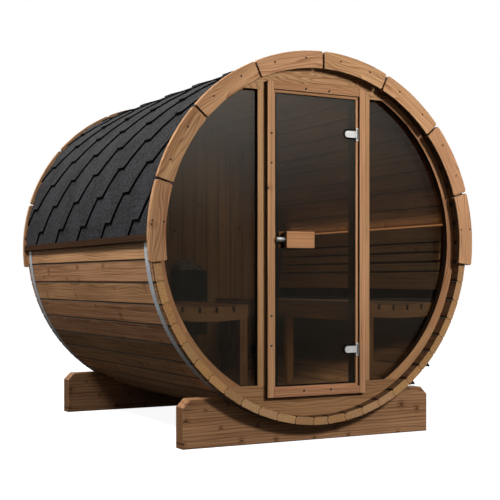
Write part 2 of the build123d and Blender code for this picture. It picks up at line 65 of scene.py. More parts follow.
class Flow:
    """What comes out of a shader or geometry node. Sums of it are written as sums."""

    def __init__(self, socket):
        self.socket = socket
        self.tree = socket.id_data

    __add__, __radd__ = operator("ADD"), operator("ADD", swapped=True)
    __sub__, __rsub__ = operator("SUBTRACT"), operator("SUBTRACT", swapped=True)
    __mul__, __rmul__ = operator("MULTIPLY"), operator("MULTIPLY", swapped=True)
    __truediv__, __pow__ = operator("DIVIDE"), operator("POWER")
    __gt__, __lt__ = operator("GREATER_THAN"), operator("LESS_THAN")
    __abs__, __floor__ = operator("ABSOLUTE"), operator("FLOOR")


def fill(node, **inputs):
    """Sets a node's inputs, by name or as _0 for the first, from values or from what flows in."""
    for name, value in inputs.items():
        socket = node.inputs[int(name[1:])] if name[0] == "_" else node.inputs[name.replace("_", " ")]
        if isinstance(value, Flow):
            node.id_data.links.new(value.socket, socket)
        else:
            socket.default_value = value


def put(tree, kind, settings=None, **inputs):
    """Adds a node with its properties and inputs. Gives its outputs, by number and by name."""
    node = tree.nodes.new(kind)
    for name, value in (settings or {}).items():
        setattr(node, name, value)
    fill(node, **inputs)
    return {key: Flow(out) for number, out in enumerate(node.outputs) for key in (number, out.name)}


def least(first, second):
    return step("MINIMUM", first, second)


def most(first, second):
    return step("MAXIMUM", first, second)


def remap(value, low, high, to_low=0.0, to_high=1.0):
    """Smoothly spreads one range over another, held at the ends."""
    ends = {"From_Min": low, "From_Max": high, "To_Min": to_low, "To_Max": to_high}
    return put(value.tree, "ShaderNodeMapRange", {"interpolation_type": "SMOOTHSTEP"}, Value=value, **ends)[0]


def paint(colour):
    """A screen colour, 0 to 255, as the linear colour a shader takes. What flows is left as it is."""
    if isinstance(colour, Flow):
        return colour
    return (*[((c / 255 + 0.055) / 1.055) ** 2.4 if c > 10 else c / 255 / 12.92 for c in colour], 1.0)


def blend_colours(share, first, second):
    """Mixes two colours. The mix node takes them at 6 and 7, and gives their mix at 2."""
    colours = {"_6": paint(first), "_7": paint(second)}
    return put(share.tree, "ShaderNodeMix", {"data_type": "RGBA"}, _0=share, **colours)[2]


def new_material(name):
    """A material with nodes, as (material, its tree, its surface node)."""
    material = bpy.data.materials.new(name)
    material.use_nodes = True
    return material, material.node_tree, material.node_tree.nodes["Principled BSDF"]


def vector(tree, **parts):
    """A vector from its X, Y and Z, nought where not given."""
    return put(tree, "ShaderNodeCombineXYZ", **parts)[0]


def split(flow, kind="XYZ"):
    """The three parts of a vector, or of a colour."""
    parts = put(flow.tree, "ShaderNodeSeparate" + kind, _0=flow)
    return [parts[number] for number in range(3)]


def spot(tree):
    """The point being shaded."""
    return put(tree, "ShaderNodeTexCoord")["Object"]


def place(tree):
    """x, y and z of the point being shaded."""
    return split(spot(tree))


def plank(along, across, width):
    """Boards side by side: where along, across and through a board, its number, and its edge's distance."""

    def layout(tree):
        where = place(tree)
        number = floor(where[across] / width)
        aside = where[across] - (number + 0.5) * width
        return where[along], aside, where[3 - along - across], number, width / 2 - abs(aside)

    return layout


def timber(
    name,
    pale,
    deep,
    layout,
    knots=0.25,
    figure=0.02,
    ring=0.011,
    variety=0.1,
    end=None,
    contrast=0.26,
    cracks=0.5,
    joints=0.9,
    dirt_and_shade_reach=(0.0014, 0.0060),
    painted_shade=None,
    specular=0.14,
):
    """Softwood board: growth rings cut lengthwise, fibres, drying cracks, knots, and dirt with painted shade
    along the joints and edges.
    """
    material, tree, surface = new_material(name)
    along, across, through, number, edge = layout(tree)
    chance = put(tree, "ShaderNodeTexWhiteNoise", {"noise_dimensions": "1D"}, W=number)
    luck = split(chance["Color"], "Color")
    along = luck[0] * 17.0 + along

    def noise(stretch_along, stretch_across, detail, roughness=0.6):
        depth = through * stretch_across + number * 3.7
        at = vector(tree, X=along * stretch_along, Y=across * stretch_across, Z=depth)
        return put(tree, "ShaderNodeTexNoise", Vector=at, Scale=1.0, Detail=detail, Roughness=roughness)[0]

    # Knots: one place for each cell, and a knot in some of them.
    flat = vector(tree, X=along, Y=number * 0.37 + across)
    knot_cells = {"Scale": 9.0, "Randomness": 0.9}
    cells = put(tree, "ShaderNodeTexVoronoi", {"voronoi_dimensions": "2D"}, Vector=flat, **knot_cells)
    drawn = split(cells["Color"], "Color")
    present = drawn[0] < knots
    smallest_knot, knot_range = 0.026, 0.04
    nearness = cells["Distance"] / (drawn[1] * knot_range + smallest_knot)
    core = remap(nearness, 0.7, 1.25, 1.0, 0.0) * present
    halo = remap(nearness, 1.0, 6.0, 1.0, 0.0) * present

    # Growth rings: the distance from a pith that wanders, pushed out round a knot.
    drift = noise(1.6, 7.0, 2.0)
    side = luck[1] * 0.07 + (drift * figure + across)
    depth = luck[2] * 0.06 + (halo * 0.02 + 0.02)
    from_pith = drift * (2 * figure) + step("SQRT", side * side + depth * depth)
    wave = step("FRACT", from_pith / ring)
    rings = (wave**2.6 * 2.0 - 0.6) * remap(wave, 0.9, 1.0, 1.0, -0.3)
    fibres = noise(2.4, 210.0, 2.0)
    streaks = noise(0.7, 55.0, 3.0, 0.65)
    patches = noise(1.3, 6.0, 2.0)
    grain = rings * contrast + (streaks - 0.5) * 1.3 + (fibres - 0.5) * 1.1 + (patches - 0.5)
    colour = blend_colours(remap(grain + (halo * 0.3 + 0.5), -0.15, 1.15), pale, deep)
    own_tone = {"Hue": luck[2] * 0.008 + 0.496, "Value": luck[1] * (2 * variety) + (1.0 - variety)}
    colour = put(tree, "ShaderNodeHueSaturation", Color=colour, **own_tone)[0]
    # Dark band along each edge: dirt in the joints, and painted shade in the grooves and on shaded side
    # faces.
    dirt_and_shade = None if edge is None else remap(edge, *dirt_and_shade_reach, joints, 0.0)
    if end is not None:
        # Sawn ends have colours of their own, and a thin dark outline.
        axis, pale_end, deep_end = end
        normal = put(tree, "ShaderNodeNewGeometry")["Normal"]
        on_end = remap(abs(split(normal)[axis]), 0.7, 0.8)
        sawn = blend_colours(remap(fibres, 0.25, 0.75), pale_end, deep_end)
        richness = luck[0] * 0.12 + 0.94
        sawn = put(tree, "ShaderNodeHueSaturation", Saturation=richness, Color=sawn, **own_tone)[0]
        colour = blend_colours(on_end, colour, sawn)
        outline = remap(edge, 0.0008, 0.0036, 0.62, 0.0)
        dirt_and_shade = most(least(dirt_and_shade, 1.0 - on_end), outline * on_end)
    cracked = remap(noise(2.6, 150.0, 1.0), 0.71, 0.77)
    # Painted shade: where the shade mask says, the colour darkens towards a deep brown, as in shadow.
    if painted_shade is not None:
        colour = blend_colours(painted_shade(tree), colour, (40, 24, 14))
    colour = blend_colours(most(core * 0.85, cracked * cracks), colour, (44, 26, 15))
    if dirt_and_shade is not None:
        colour = blend_colours(dirt_and_shade, colour, (20, 11, 6))
    height = core * -0.8 + (rings * 0.2 + fibres)
    relief = put(tree, "ShaderNodeBump", Strength=0.35, Distance=0.0012, Height=height)[0]
    fill(surface, Base_Color=colour, Normal=relief, Roughness=fibres * 0.2 + 0.52)
    fill(surface, Specular_IOR_Level=specular)
    return material


def finish(material, *nodes):
    """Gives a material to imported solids."""
    for name in nodes:
        solids[name].data.materials.clear()
        solids[name].data.materials.append(material)


X, Y, Z = 0, 1, 2
saddle_cut = {"layout": plank(X, Z, 0.6), "knots": 0.6, "ring": 0.017, "figure": 0.05, "cracks": 0.8}
front_end, shaded_end = (X, (136, 96, 65), (86, 58, 38)), (X, (120, 84, 57), (78, 52, 34))
oiled = timber("oiled_saddle_timber", (196, 147, 107), (110, 74, 49), end=front_end, **saddle_cut)
finish(oiled, "front_saddle")
# The rear saddle is a darker copy of the same timber: painted shade, for the barrel's shadow on it.
shaded_saddle = timber("shaded_saddle_timber", (172, 128, 93), (98, 66, 43), end=shaded_end, **saddle_cut)
finish(shaded_saddle, "rear_saddle")


# ----------------------------------------------------------
# Staves. Straight boards, tongued into each other, make the barrel, with the grain
# along it. Their sawn ends are paler and show between the fascia and the wall. The
# narrow boards at the crown and keel close the ring.
# ----------------------------------------------------------
barrel_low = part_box("staves_bottom")[0]
barrel_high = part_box("staves_top")[1]
axis_z = (barrel_low.z + barrel_high.z) / 2
barrel_radius = (barrel_high.z - barrel_low.z) / 2
stave_front, stave_rear = barrel_low.y, barrel_high.y
wall_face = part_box("wall_header")[0].y
crown_half = radians(1.875)
stave_pitch = radians(6.75)
tongue_radius = barrel_radius - 0.021
tongue_half_height = 0.012
tongue_depth = 0.005
lining = (barrel_radius - 0.036, barrel_radius - 0.030)
joint_at_mouth, joint_in_cabin = 0.55, 2.2
first_stave, right_hand_staves = 14298.0, 40.0
mouth_shade_strength = 0.80
bench_foot = (0.32, 0.38)
backrest_head = (1.17, 1.19)


def turn_about_axis(tree):
    """Angle round the barrel from the crown, the distance from its axis, and the place along it."""
    x, y, z = place(tree)
    rise = z - axis_z
    return step("ARCTAN2", x, rise), step("SQRT", x * x + rise * rise), y


def stave_layout(tree):
    """Each stave is a board of its own, counted down from the crown. Its tongue bulges clockwise."""
    angle, reach, y = turn_about_axis(tree)
    share = (abs(angle) - crown_half) / stave_pitch
    number = floor(share)
    inside = share - number
    across = (inside - 0.5) * stave_pitch * barrel_radius
    level = (reach - tongue_radius) / tongue_half_height
    bulge = most(1.0 - level * level, 0.0) * step("SIGN", angle)
    bulge = bulge * (tongue_depth / (stave_pitch * tongue_radius))
    from_joint = abs(step("FRACT", inside - bulge + 0.5) - 0.5)
    # On the inner faces the dark joint band, dirt and painted shade, is wider in the shaded mouth and
    # narrower inside the cabin.
    spread = remap(y, wall_face, wall_face + 0.004, joint_at_mouth, joint_in_cabin) - 1.0
    spread = spread * remap(reach, *lining, 1.0, 0.0) + 1.0
    edge = from_joint * (stave_pitch * barrel_radius) * spread
    number = number + ((angle > 0.0) * right_hand_staves + first_stave)
    return y, across, reach, number, edge


def painted_mouth_shade(tree):
    """Painted shade on the staves: the mouth inside, a rim outside near the front ends, and behind and under
    the benches.
    """
    _, reach, y = turn_about_axis(tree)
    height = place(tree)[2]
    inside = remap(reach, barrel_radius - 0.034, barrel_radius - 0.030, mouth_shade_strength, 0.0)
    inside = inside * remap(y, wall_face, wall_face + 0.004, 1.0, 0.0)
    outside = remap(reach, barrel_radius - 0.016, barrel_radius - 0.010, 0.0, mouth_shade_strength)
    outside = outside * remap(y, stave_front + 0.010, stave_front + 0.024, 1.0, 0.0)
    off_end = remap(y, stave_front + 0.0003, stave_front + 0.0012)
    above_foot = height - remap(y, stave_front + 0.2, stave_front + 0.8, 0.16, 0.0)
    shaded = remap(above_foot, *bench_foot) * remap(height, *backrest_head, 1.0, 0.0)
    shaded = shaded * remap(y, wall_face + 0.08, wall_face + 0.10, 0.0, 0.85)
    shaded = shaded * remap(reach, *lining, 1.0, 0.0)
    return most(most(inside * off_end, outside * off_end), shaded)


stave_end = (Y, (202, 158, 111), (151, 110, 71))
stave = {"knots": 0.22, "variety": 0.12, "end": stave_end, "dirt_and_shade_reach": (0.0046, 0.0092)}
stave_colours = ((190, 143, 104), (112, 75, 48))
stave_timber = timber("stave_timber", *stave_colours, stave_layout, painted_shade=painted_mouth_shade, **stave)
upper_staves = ("staves_top", "staves_upper_left", "staves_upper_right")
finish(stave_timber, *upper_staves, "staves_lower_left", "staves_lower_right", "staves_bottom")


# ----------------------------------------------------------
# Fascia boards. Eight arcs at each end, sawn from straight planks and screwed over
# the ends of the staves, so the grain runs straight along each board and not round
# the ring. Their edges are planed and rounded.
# ----------------------------------------------------------
fascia_arc = radians(24.35)
fascia_gap = 0.009
fascia_outer_radius = barrel_radius + 0.025
fascia_inner_radius = barrel_radius - 0.070
fascia_middle_radius = (fascia_outer_radius + fascia_inner_radius) / 2
first_arc = 820.0


def board_of_ring(tree):
    """Straight grain in an arc: where along and across its chord, and through it, and the arc's number."""
    angle, reach, y = turn_about_axis(tree)
    number = floor(angle / fascia_arc)
    aside = angle - (number + 0.5) * fascia_arc
    return reach * step("SINE", aside), reach * step("COSINE", aside), y, number, aside, reach


def fascia_layout(tree):
    """Grain runs along the chord of each arc; dirt and painted shade lie in the gaps between the arcs and
    along the inner rim.
    """
    along, from_axis, y, number, aside, reach = board_of_ring(tree)
    to_end = (fascia_arc / 2 - abs(aside)) * reach - fascia_gap / 2
    to_rim = reach - fascia_inner_radius
    edge = least(to_end + 0.0022, to_rim + 0.0012)
    return along, from_axis - fascia_middle_radius, y, number + first_arc, edge


planed_arc = {"knots": 0.15, "figure": 0.045, "ring": 0.009, "contrast": 0.40}
fascia_colours = ((206, 159, 117), (142, 98, 67))
fascia_timber = timber("planed_fascia_timber", *fascia_colours, fascia_layout, **planed_arc)
finish(fascia_timber, "front_fascia", "rear_fascia")


# A tree's inputs: a piece, a count or a size.
socket_kinds = {type(None): "NodeSocketObject", int: "NodeSocketInt", float: "NodeSocketFloat"}


def node_group(name, sizes):
    """A Geometry Nodes tree with named inputs, as (tree, what flows in, output node)."""
    tree = bpy.data.node_groups.new(name, "GeometryNodeTree")
    new_socket = tree.interface.new_socket
    new_socket(name="Geometry", in_out="INPUT", socket_type="NodeSocketGeometry")
    for label, value in sizes.items():
        socket = new_socket(name=label, in_out="INPUT", socket_type=socket_kinds[type(value)])
        if value is not None:
            socket.default_value = value
    new_socket(name="Geometry", in_out="OUTPUT", socket_type="NodeSocketGeometry")
    return tree, put(tree, "NodeGroupInput"), tree.nodes.new("NodeGroupOutput")


def set_out(points, piece, **turned):
    """The same piece on every point, made real."""
    placed = put(points.tree, "GeometryNodeInstanceOnPoints", Points=points, Instance=piece, **turned)[0]
    return put(points.tree, "GeometryNodeRealizeInstances", Geometry=placed)[0]


def coated(solid, coat, **chosen):
    """A solid with its material."""
    return put(solid.tree, "GeometryNodeSetMaterial", Geometry=solid, Material=coat, **chosen)[0]


def add_object(name, data):
    """Puts a mesh, lamp or camera in the scene."""
    made = bpy.data.objects.new(name, data)
    bpy.context.scene.collection.objects.link(made)
    return made


def bake_nodes(name, tree, values, start=()):
    """Runs a Geometry Nodes tree once, on a mesh of loose points, and keeps its result as a plain mesh."""
    setting_out = bpy.data.meshes.new(name + "_setting_out")
    setting_out.from_pydata(start, [], [])
    holder = add_object(name + "_setting_out", setting_out)
    modifier = holder.modifiers.new("nodes", "NODES")
    modifier.node_group = tree
    for item in tree.interface.items_tree:
        if item.in_out == "INPUT" and item.name in values:
            modifier[item.identifier] = values[item.name]
    bpy.context.view_layer.update()
    ready = holder.evaluated_get(bpy.context.evaluated_depsgraph_get())
    mesh = bpy.data.meshes.new_from_object(ready)
    holder.modifiers.remove(modifier)
    bpy.data.objects.remove(holder)
    return add_object(name, mesh)


def loft(work, rings, capped=True):
    """Joins each ring of points to the next with faces, and caps the two ends or joins them."""
    rings = [[work.verts.new(point) for point in ring] for ring in rings]
    for first, second in zip(rings, rings[1:] + ([] if capped else rings[:1])):
        for side in range(len(first)):
            work.faces.new((first[side - 1], first[side], second[side], second[side - 1]))
    if capped:
        work.faces.new(rings[0])
        work.faces.new(rings[-1])


def keep_piece(work, name, *materials):
    """Turns the faces outward and keeps them as a piece in the scene."""
    bmesh.ops.recalc_face_normals(work, faces=work.faces)
    mesh = bpy.data.meshes.new(name)
    work.to_mesh(mesh)
    work.free()
    for material in materials:
        mesh.materials.append(material)
    return add_object(name, mesh)


def screw_head(name, radius):
    """Countersunk head facing -Y, dished in the middle."""
    work = bmesh.new()
    turns = [2 * pi * turn / 12 for turn in range(12)]
    rings = []
    for share, lift in ((1.0, -0.0012), (1.0, 0.0006), (0.8, 0.0010), (0.35, 0.0002)):
        reach = radius * share
        rings.append([(reach * cos(turn), -lift, reach * sin(turn)) for turn in turns])
    loft(work, rings)
    return keep_piece(work, name)


def screw_tree(coat):
    """A screw on every point, each stopped at its own angle."""
    tree, given, result = node_group("set_screws", {"Screw": None, "Seed": 4, "Largest turn": pi})
    draw = {"Max": given["Largest turn"], "Seed": given["Seed"]}
    turn = put(tree, "FunctionNodeRandomValue", {"data_type": "FLOAT"}, **draw)[1]
    screw = put(tree, "GeometryNodeObjectInfo", _0=given["Screw"])["Geometry"]
    solid = set_out(given["Geometry"], screw, Rotation=vector(tree, Y=turn))
    fill(result, _0=coated(solid, coat))
    return tree


def mottling(tree, **sizes):
    """Noise that stays with the piece."""
    return put(tree, "ShaderNodeTexNoise", Vector=spot(tree), **sizes)[0]


def worn_metal(name, pale, deep, rough, scale=40.0, metallic=1.0):
    """Bare or coated metal with faint mottling."""
    material, tree, surface = new_material(name)
    mottle = mottling(tree, Scale=scale, Detail=4.0)
    colour = blend_colours(remap(mottle, 0.3, 0.7), pale, deep)
    fill(surface, Base_Color=colour, Roughness=mottle * 0.2 + (rough - 0.1), Metallic=metallic)
    return material


screw_radius, screw_spread = 0.0056, 0.235
joint_screw_aside, middle_screw_out = 0.031, 0.009
dark_screws = worn_metal("oxidised_screw", (66, 42, 30), (26, 16, 11), 0.6, scale=300.0, metallic=0.1)
screw = screw_head("countersunk_screw", screw_radius)
fascia_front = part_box("front_fascia")[0].y
screw_spots = []
for board in range(-4, 4):
    last = board in (-4, 3)
    for side in (-1, 1):
        angle = (board + 0.5 + (0 if last else side * screw_spread)) * fascia_arc
        reach = fascia_middle_radius + (side * joint_screw_aside if last else middle_screw_out)
        screw_spots.append((reach * sin(angle), fascia_front, axis_z + reach * cos(angle)))
dark_set = screw_tree(dark_screws)
fascia_screws = bake_nodes("front_fascia_screws", dark_set, {"Screw": screw}, screw_spots)
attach(fascia_screws, "barrel")
bpy.data.objects.remove(screw)


# ----------------------------------------------------------
# Roof shingles. Hexagonal felt tabs in overlapping courses cover the upper half. The
# felt is bituminous and faced with dark slate grit, and each tab is thickest at its
# lower edge, which shows as a black line. Ridge caps are lapped along the crown.
# ----------------------------------------------------------
course = radians(8.9)
first_course = radians(84.7)
eave = radians(88.95)
tab_spacing = 0.402
tab_flat = tab_spacing / 4
tab_row_start = stave_front + 0.189
tab_lift, tab_tail = 0.0175, 0.002
tab_steps = 4
tab_slant = 0.0060


def shingle_felt():
    """Slate grit in bitumen, painted black along the roof's front edge as the shadow of the fascia's rim."""
    material, tree, surface = new_material("slate_grit_felt")
    grit = mottling(tree, Scale=150.0, Detail=4.0, Roughness=0.75)
    weather = mottling(tree, Scale=5.0, Detail=3.0)
    grains = put(tree, "ShaderNodeTexVoronoi", Vector=spot(tree), Scale=125.0)["Color"]
    tone = split(grains, "Color")[0] * 0.22 + (weather * 0.25 + grit * 0.9 - 0.11)
    colour = blend_colours(remap(tone, 0.345, 0.805), (8, 8, 10), (62, 62, 65))
    # Painted shadow: the felt darkens within a few millimetres of the front, where the fascia's rim shades
    # it.
    painted_fascia_shadow = remap(place(tree)[1], stave_front + 0.004, stave_front + 0.016, 0.85, 0.0)
    colour = blend_colours(painted_fascia_shadow, colour, (8, 9, 15))
    relief = put(tree, "ShaderNodeBump", Strength=0.6, Distance=0.0015, Height=grit)[0]
    fill(surface, Base_Color=colour, Normal=relief, Roughness=0.85, Specular_IOR_Level=0.06)
    return material


def dappled(name, first, second, scale, detail, **rest):
    """Two close tones that drift into each other, and the rest of the surface's values."""
    material, tree, surface = new_material(name)
    tone = blend_colours(mottling(tree, Scale=scale, Detail=detail), first, second)
    fill(surface, Base_Color=tone, **rest)
    return material


def shingle_tab():
    """One hexagonal tab at the crown, its lower edge towards +X, standing on the barrel."""
    work = bmesh.new()
    rows = []
    for row in range(tab_steps + 1):
        share = row / tab_steps
        half = tab_flat / 2 + tab_flat * (1 - abs(2 * share - 1))
        angle = -2 * course * share
        top = barrel_radius + tab_tail + (tab_lift - tab_tail) * (1 - share)
        face, foot = (top, tab_slant), (barrel_radius, 0.0)
        corners = []
        for side, (radius, slant) in ((-1, face), (-1, foot), (1, foot), (1, face)):
            turn = angle - (slant / radius if row == 0 else 0.0)
            corners.append((radius * sin(turn), side * (half - slant), radius * cos(turn)))
        rows.append(corners)
    loft(work, rows)
    return keep_piece(work, "shingle_tab")


def shingle_tree(felt, edge):
    """Sets tabs out in courses round the barrel, alternate courses moved along by half a tab."""
    sizes = {"Tab": None, "Courses": 10, "Tabs": 6, "Spacing": tab_spacing, "Start": tab_row_start}
    sizes.update({"Lowest": first_course, "Course": course, "Axis height": axis_z})
    tree, given, result = node_group("shingle_courses", sizes)
    points = put(tree, "GeometryNodePoints", Count=given["Courses"] * given["Tabs"])[0]
    index = put(tree, "GeometryNodeInputIndex")[0]
    row = floor(index / given["Tabs"])
    column = index - row * given["Tabs"]
    along = (column + step("MODULO", row, 2.0) * 0.5) * given["Spacing"] + given["Start"]
    lying = vector(tree, Y=along, Z=given["Axis height"])
    turn = vector(tree, Y=given["Lowest"] - row * given["Course"])
    placed = put(tree, "GeometryNodeSetPosition", Geometry=points, Position=lying)[0]
    tab = put(tree, "GeometryNodeObjectInfo", _0=given["Tab"])["Geometry"]
    solid = set_out(placed, tab, Rotation=turn)
    x, _, z = split(put(tree, "GeometryNodeInputPosition")[0])
    outward = vector(tree, X=x, Z=z - given["Axis height"])
    normal = put(tree, "GeometryNodeInputNormal")[0]
    facing = put(tree, "ShaderNodeVectorMath", {"operation": "DOT_PRODUCT"}, _0=outward, _1=normal)["Value"]
    cut = put(tree, "FunctionNodeCompare", {"operation": "LESS_THAN"}, A=facing, B=0.6)[0]
    fill(result, _0=coated(coated(solid, felt), edge, Selection=cut))
    return tree


dull = {"Roughness": 0.8, "Specular_IOR_Level": 0.05}
cut_bitumen = dappled("cut_bitumen", (3, 3, 3), (8, 8, 9), 90.0, 2.0, **dull)
tab = shingle_tab()
shingles = shingle_tree(shingle_felt(), cut_bitumen)
roof_gap = 0.002
half_roof = {
    "Tab": tab,
    "Courses": 13,
    "Tabs": int((stave_rear - stave_front) / tab_spacing) + 3,
    "Start": tab_row_start - tab_spacing,
    "Lowest": first_course + 2 * course,
}
for side, word in ((1, "right"), (-1, "left")):
    roof = bake_nodes(f"shingles_{word}", shingles, half_roof)
    work = bmesh.new()
    work.from_mesh(roof.data)
    if side < 0:
        bmesh.ops.scale(work, vec=(-1, 1, 1), verts=work.verts)
        bmesh.ops.reverse_faces(work, faces=work.faces)
    cuts = (
        ((0, stave_front + roof_gap, 0), (0, -1, 0)),
        ((0, stave_rear - roof_gap, 0), (0, 1, 0)),
        ((0, 0, axis_z), (-side, 0, 0)),
        ((0, 0, axis_z), (side * cos(eave), 0, -sin(eave))),
    )
    for point, outward in cuts:
        parts = work.verts[:] + work.edges[:] + work.faces[:]
        cut = bmesh.ops.bisect_plane(work, geom=parts, plane_co=point, plane_no=outward, clear_outer=True)
        rim = [item for item in cut["geom_cut"] if isinstance(item, bmesh.types.BMEdge)]
        bmesh.ops.holes_fill(work, edges=rim)
    work.to_mesh(roof.data)
    work.free()
    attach(roof, "barrel")
    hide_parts(f"roof_{word}")
bpy.data.objects.remove(tab)

cap_length, cap_count = 0.30, 13
cap_thickness = 0.0024
cap_reach = barrel_radius + tab_lift - 0.0005
cap_bend = [radians(angle) for angle in (-8.5, -6.0, -3.0, 0.0, 3.0, 6.0, 8.5)]


def ridge_cap():
    """A strip of felt bent over the crown, lifted at the end that laps the next one."""
    work = bmesh.new()
    lapped, tail = cap_reach + 0.0036, cap_reach + 0.0010
    section = [(0.0, lapped), (0.0, lapped - cap_thickness)]
    section += [(cap_length, tail - cap_thickness), (cap_length, tail)]
    loft(work, [[(reach * sin(turn), y, reach * cos(turn)) for y, reach in section] for turn in cap_bend])
    return keep_piece(work, "ridge_cap")


cap = ridge_cap()
cap_run = {
    "Tab": cap,
    "Courses": 1,
    "Tabs": cap_count,
    "Spacing": (stave_rear - stave_front - 2 * roof_gap - cap_length) / (cap_count - 1),
    "Start": stave_front + roof_gap,
    "Lowest": 0.0,
}
ridge = bake_nodes("ridge_caps", shingles, cap_run)
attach(ridge, "barrel")
bpy.data.objects.remove(cap)


# ----------------------------------------------------------
# Eave battens. A dark-stained strip of wood along each side carries the ends of the
# lowest course.
# ----------------------------------------------------------
stained_batten = {"layout": plank(Y, Z, 3.0), "knots": 0.05, "specular": 0.0}
finish(timber("dark_stained_batten", (78, 56, 42), (50, 36, 27), **stained_batten), "eave_battens")


# ----------------------------------------------------------
# Hoops. Galvanised steel strap pulls the staves together under the barrel, drawn up on
# the right by a threaded rod between two black-coated lugs, with a nut at each end.
# ----------------------------------------------------------
lug_middle, lug_half_spread = radians(137), radians(4)
rod_radius = barrel_radius + 0.028
rod_reach = rod_radius * cos(lug_half_spread)
nut_offset = rod_radius * sin(lug_half_spread) + 0.0115
strap_outside = barrel_radius + 0.0045
painted_shade_heights = (0.20, 0.55)


def overlay(material, share, colour):
    """Lays a colour over a material's own, as far as the share says."""
    surface = material.node_tree.nodes["Principled BSDF"]
    own = Flow(surface.inputs["Base Color"].links[0].from_socket)
    fill(surface, Base_Color=blend_colours(share, own, colour))


def strap_steel():
    """Galvanised strap and rod, painted dark low under the barrel as shade, with black-coated lugs."""
    material = worn_metal("galvanised_strap", (214, 218, 224), (176, 182, 190), 0.5, metallic=0.35)
    tree = material.node_tree
    angle, reach, _ = turn_about_axis(tree)
    on_lug = abs(angle - lug_middle) > lug_half_spread - radians(0.35)
    # Painted shade: the strap darkens towards its low part under the barrel.
    overlay(material, remap(place(tree)[2], *painted_shade_heights, 0.92, 0.0), (30, 26, 24))
    overlay(material, on_lug * (reach > strap_outside), (12, 12, 13))
    return material


finish(strap_steel(), "front_hoop", "rear_hoop")


def nut_pair():
    """Two hexagonal nuts at the crown, one at each end of a rod that lies along X."""
    work = bmesh.new()
    turns = [radians(60) * corner for corner in range(6)]
    for side in (-1, 1):
        rings = []
        for x, size in ((-0.0065, 0.0105), (-0.0045, 0.0122), (0.0045, 0.0122), (0.0065, 0.0105)):
            x += side * nut_offset
            rings.append([(x, size * cos(turn), rod_reach + size * sin(turn)) for turn in turns])
        loft(work, rings)
    return keep_piece(work, "nut_pair")


def nut_tree(coating):
    """Sets a pair of nuts where each hoop is drawn up; the points are the hoops' middles on the axis."""
    tree, given, result = node_group("tighten_hoops", {"Nuts": None, "Angle": lug_middle})
    nuts = put(tree, "GeometryNodeObjectInfo", _0=given["Nuts"])["Geometry"]
    placed = set_out(given["Geometry"], nuts, Rotation=vector(tree, Y=given["Angle"]))
    fill(result, _0=coated(placed, coating))
    return tree


black_coating = worn_metal("black_coated_nut", (18, 18, 20), (9, 9, 10), 0.5, scale=200.0, metallic=0.2)
pair = nut_pair()
hoop_boxes = [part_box(name) for name in ("front_hoop", "rear_hoop")]
hoop_middles = [(0, (low.y + high.y) / 2, axis_z) for low, high in hoop_boxes]
hoop_nuts = bake_nodes("hoop_nuts", nut_tree(black_coating), {"Nuts": pair}, hoop_middles)
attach(hoop_nuts, "barrel")
bpy.data.objects.remove(pair)


# ----------------------------------------------------------
# Front wall. Broad planks with a lively flat-sawn figure fill the head and foot of the
# round, plain upright pieces frame the windows, and curved ones close the sides.
# ----------------------------------------------------------
header_number, curve_number = 21.0, 40.0


def head_layout(tree):
    """Header and threshold: one broad plank each, with its own number and no joint."""
    x, y, z = place(tree)
    return x, z - axis_z, y, (z > axis_z) * 3.0 + header_number, None


def curve_layout(tree):
    """The curved side pieces are sawn in short lengths too, with the grain along each."""
    along, across, y, number, _, _ = board_of_ring(tree)
    return along, across, y, number + curve_number, None


broad = {"knots": 0.03, "figure": 0.13, "ring": 0.018, "variety": 0.02, "contrast": 0.42}
head_timber = timber("flat_sawn_wall_timber", (197, 154, 112), (137, 98, 67), head_layout, **broad)
finish(head_timber, "wall_header")
# The threshold is a darker copy of the header's timber: painted shade, as the wall darkens towards its foot.
foot_timber = timber("shaded_threshold_timber", (172, 128, 90), (116, 80, 53), head_layout, **broad)
finish(foot_timber, "wall_threshold")
upright = {"layout": plank(Z, X, 3.0), "knots": 0.04, "figure": 0.015, "variety": 0.02}
finish(timber("upright_wall_timber", (196, 150, 108), (146, 104, 70), **upright), "wall_jambs")
curve = {"layout": curve_layout, "knots": 0.05, "variety": 0.05}
curve_timber = timber("curved_wall_timber", (186, 140, 98), (132, 92, 61), **curve)
finish(curve_timber, "left_wall_curve", "right_wall_curve")


# ----------------------------------------------------------
# Glass. Tempered panes tinted bronze: two fixed windows set in black rubber, and the
# door leaf, which turns on clamps. The cabin shows dimly through them. The black
# lining of the window openings also stands in for their reveals in shade.
# ----------------------------------------------------------
clear = {"Roughness": 0.0, "Transmission_Weight": 1.0, "IOR": 1.45}
glass = dappled("bronze_glass", (116, 115, 108), (120, 119, 112), 3.0, 2.0, **clear)
panes = ("left_window", "right_window", "door_glass")
finish(glass, *panes)
for pane in panes:
    solids[pane].visible_shadow = False

matt = {"Roughness": 0.8, "Specular_IOR_Level": 0.1}
black_rubber = dappled("seal_rubber", (4, 3, 3), (11, 8, 6), 60.0, 3.0, **matt)
curved_side = (0.868, 0.874)
# Painted shade: where the lining meets the curved sides of the openings it turns dark brown, as shaded wood.
shaded_reveal = remap(turn_about_axis(black_rubber.node_tree)[1], *curved_side)
overlay(black_rubber, shaded_reveal, (34, 22, 14))


def fit_seal(work, name):
    """Rubber stays on the barrel."""
    seal = keep_piece(work, name, black_rubber)
    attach(seal, "barrel")
    return seal


seal_groove, seal_width = 0.0105, 0.0025
seal_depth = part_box("left_window")[0].y - wall_face - 0.0015


